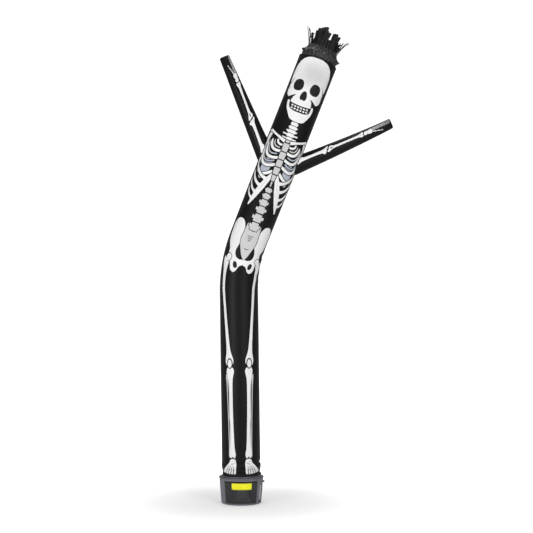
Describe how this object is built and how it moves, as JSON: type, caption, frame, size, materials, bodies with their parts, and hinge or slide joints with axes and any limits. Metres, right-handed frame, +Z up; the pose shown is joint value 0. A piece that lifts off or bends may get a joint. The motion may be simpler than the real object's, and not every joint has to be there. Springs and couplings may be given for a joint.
{
  "type": "inflatable air dancer on a blower",
  "caption": "Tall black cloth tube that stands inflated on a round blower, bent and leaning over, with two raised sleeve arms, a gathered cuff and ribbon hair at its head.",
  "frame": {"origin": "middle of the blower's flat underside, on the ground", "axes": "+Z up; the printed front and the yellow plate face -Y; the head leans towards +X"},
  "size_m": [2.1148, 0.538, 5.7703],
  "materials": {
    "black_cloth": "thin satin nylon, black, printed in white and light grey",
    "grey_cuff_cloth": "thin nylon, dark grey, gathered",
    "ribbon_cloth": "thin nylon ribbon, black",
    "strap_webbing": "woven webbing, black",
    "lock_plastic": "moulded, black",
    "housing_plastic": "moulded, dark blue-grey, fine grain",
    "lid_plastic": "moulded, dark grey",
    "grille_plastic": "moulded, dark grey",
    "label_yellow": "smooth yellow sheet, bare",
    "knob_plastic": "moulded, black",
    "motor_metal": "cast, plain"
  },
  "bodies": {
    "root": {"tube_body": "black_cloth", "arm_left": "black_cloth", "arm_right": "black_cloth", "head_cuff": "grey_cuff_cloth", "hair_fringe_outer": "ribbon_cloth", "hair_fringe_inner": "ribbon_cloth", "base_strap": "strap_webbing", "strap_lock_left": "lock_plastic", "strap_lock_right": "lock_plastic", "blower_housing": "housing_plastic", "blower_lid": "lid_plastic", "front_grille": "grille_plastic", "side_grille": "grille_plastic", "label_plate": "label_yellow", "switch_knob": "knob_plastic", "blower_motor": "motor_metal"}
  },
  "joints": []
}
